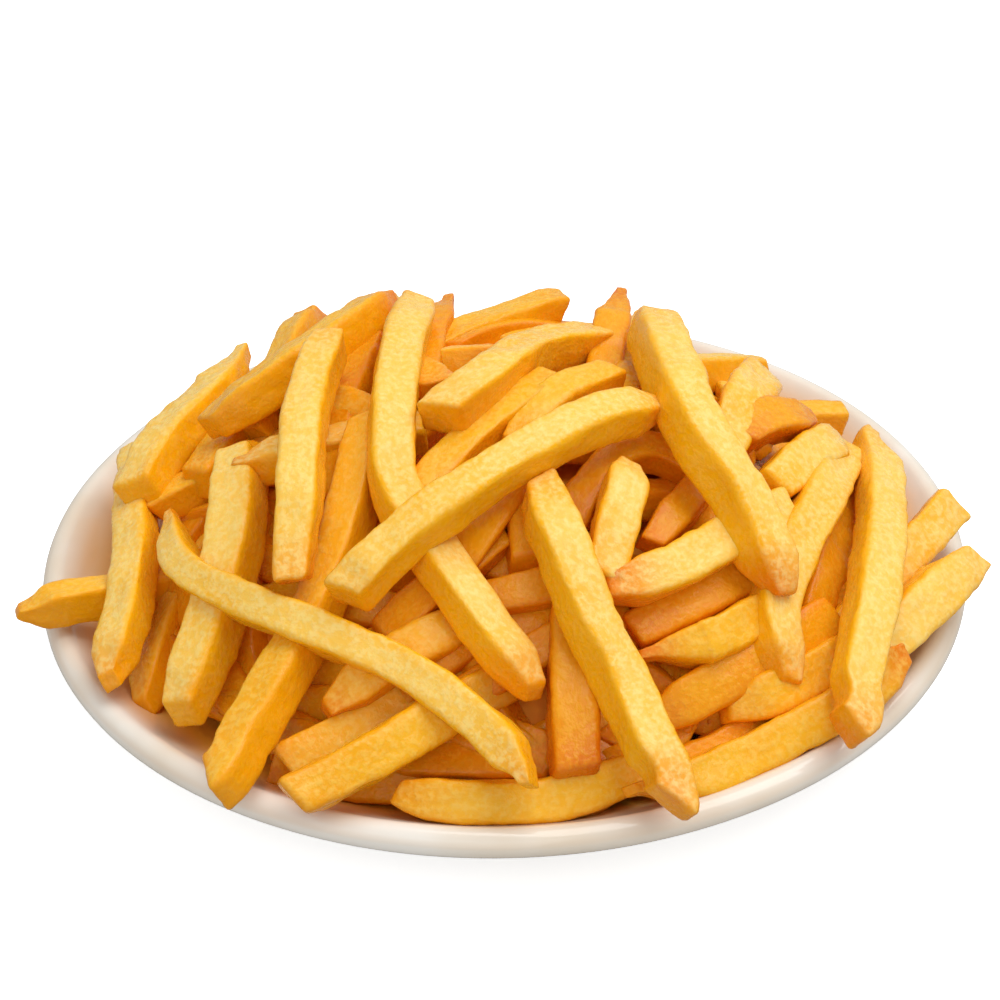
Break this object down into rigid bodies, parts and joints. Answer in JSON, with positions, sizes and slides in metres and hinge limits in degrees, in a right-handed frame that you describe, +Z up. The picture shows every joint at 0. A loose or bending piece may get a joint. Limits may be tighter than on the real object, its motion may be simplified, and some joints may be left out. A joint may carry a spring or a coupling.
{
  "type": "french fries portion",
  "caption": "Portion of straight-cut french fries heaped on a round white coupe plate with a rounded rim and a foot ring.",
  "frame": {"origin": "on the plate's axis, on the surface that its foot ring stands on", "axes": "+Z up; -Y is the side that the heap is seen from, with +X to its right"},
  "size_m": [0.2329, 0.2317, 0.0797],
  "materials": {
    "white_glaze": "smooth glossy white glaze",
    "fried_potato": null
  },
  "bodies": {
    "root": {"plate": "white_glaze", "fries": "fried_potato"}
  },
  "joints": []
}
